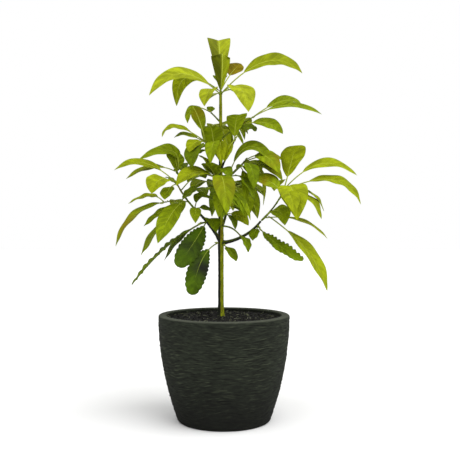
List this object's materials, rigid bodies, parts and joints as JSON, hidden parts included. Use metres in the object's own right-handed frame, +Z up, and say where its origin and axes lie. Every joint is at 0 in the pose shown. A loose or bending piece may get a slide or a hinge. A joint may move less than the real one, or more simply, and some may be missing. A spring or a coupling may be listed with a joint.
{
  "type": "avocado tree in a pot",
  "caption": "Young avocado tree with a slim upright trunk, spreading boughs and long drooping leaves, standing in a round dark stone-look planter.",
  "frame": {"origin": "centre of the pot's flat underside, on the floor", "axes": "+Z up along the trunk, +X to the right and -Y to the front as the plant is seen"},
  "size_m": [0.5555, 0.3453, 0.8821],
  "materials": {
    "pot": "matt, rough, with fine level ridges",
    "soil": "loose dark potting soil, matt",
    "bark": "smooth young green bark with brown marks",
    "bough": "smooth dark green bark",
    "leaves": "satin, yellow-green with pale midribs",
    "older_leaves": "satin, deep green, toothed edges"
  },
  "bodies": {
    "root": {"bough_back_high": "bough", "bough_back_low": "bough", "bough_fork_left": "bough", "bough_front_right": "bough", "bough_left": "bough", "bough_right": "bough", "foliage_back_high": "leaves", "foliage_back_low": "leaves", "foliage_back_mid": "leaves", "foliage_back_top": "leaves", "foliage_crown": "leaves", "foliage_fork_left": "leaves", "foliage_front": "leaves", "foliage_front_high": "leaves", "foliage_front_low": "leaves", "foliage_front_right": "leaves", "foliage_left": "leaves", "foliage_low_front": "older_leaves", "foliage_low_left": "older_leaves", "foliage_low_right": "older_leaves", "foliage_lower_front": "older_leaves", "foliage_mid_left": "leaves", "foliage_mid_right": "leaves", "foliage_right": "leaves", "foliage_side_right": "older_leaves", "foliage_under_right": "older_leaves", "foliage_up_left": "leaves", "foliage_up_right": "leaves", "pot": "pot", "soil": "soil", "trunk": "bark"}
  },
  "joints": []
}
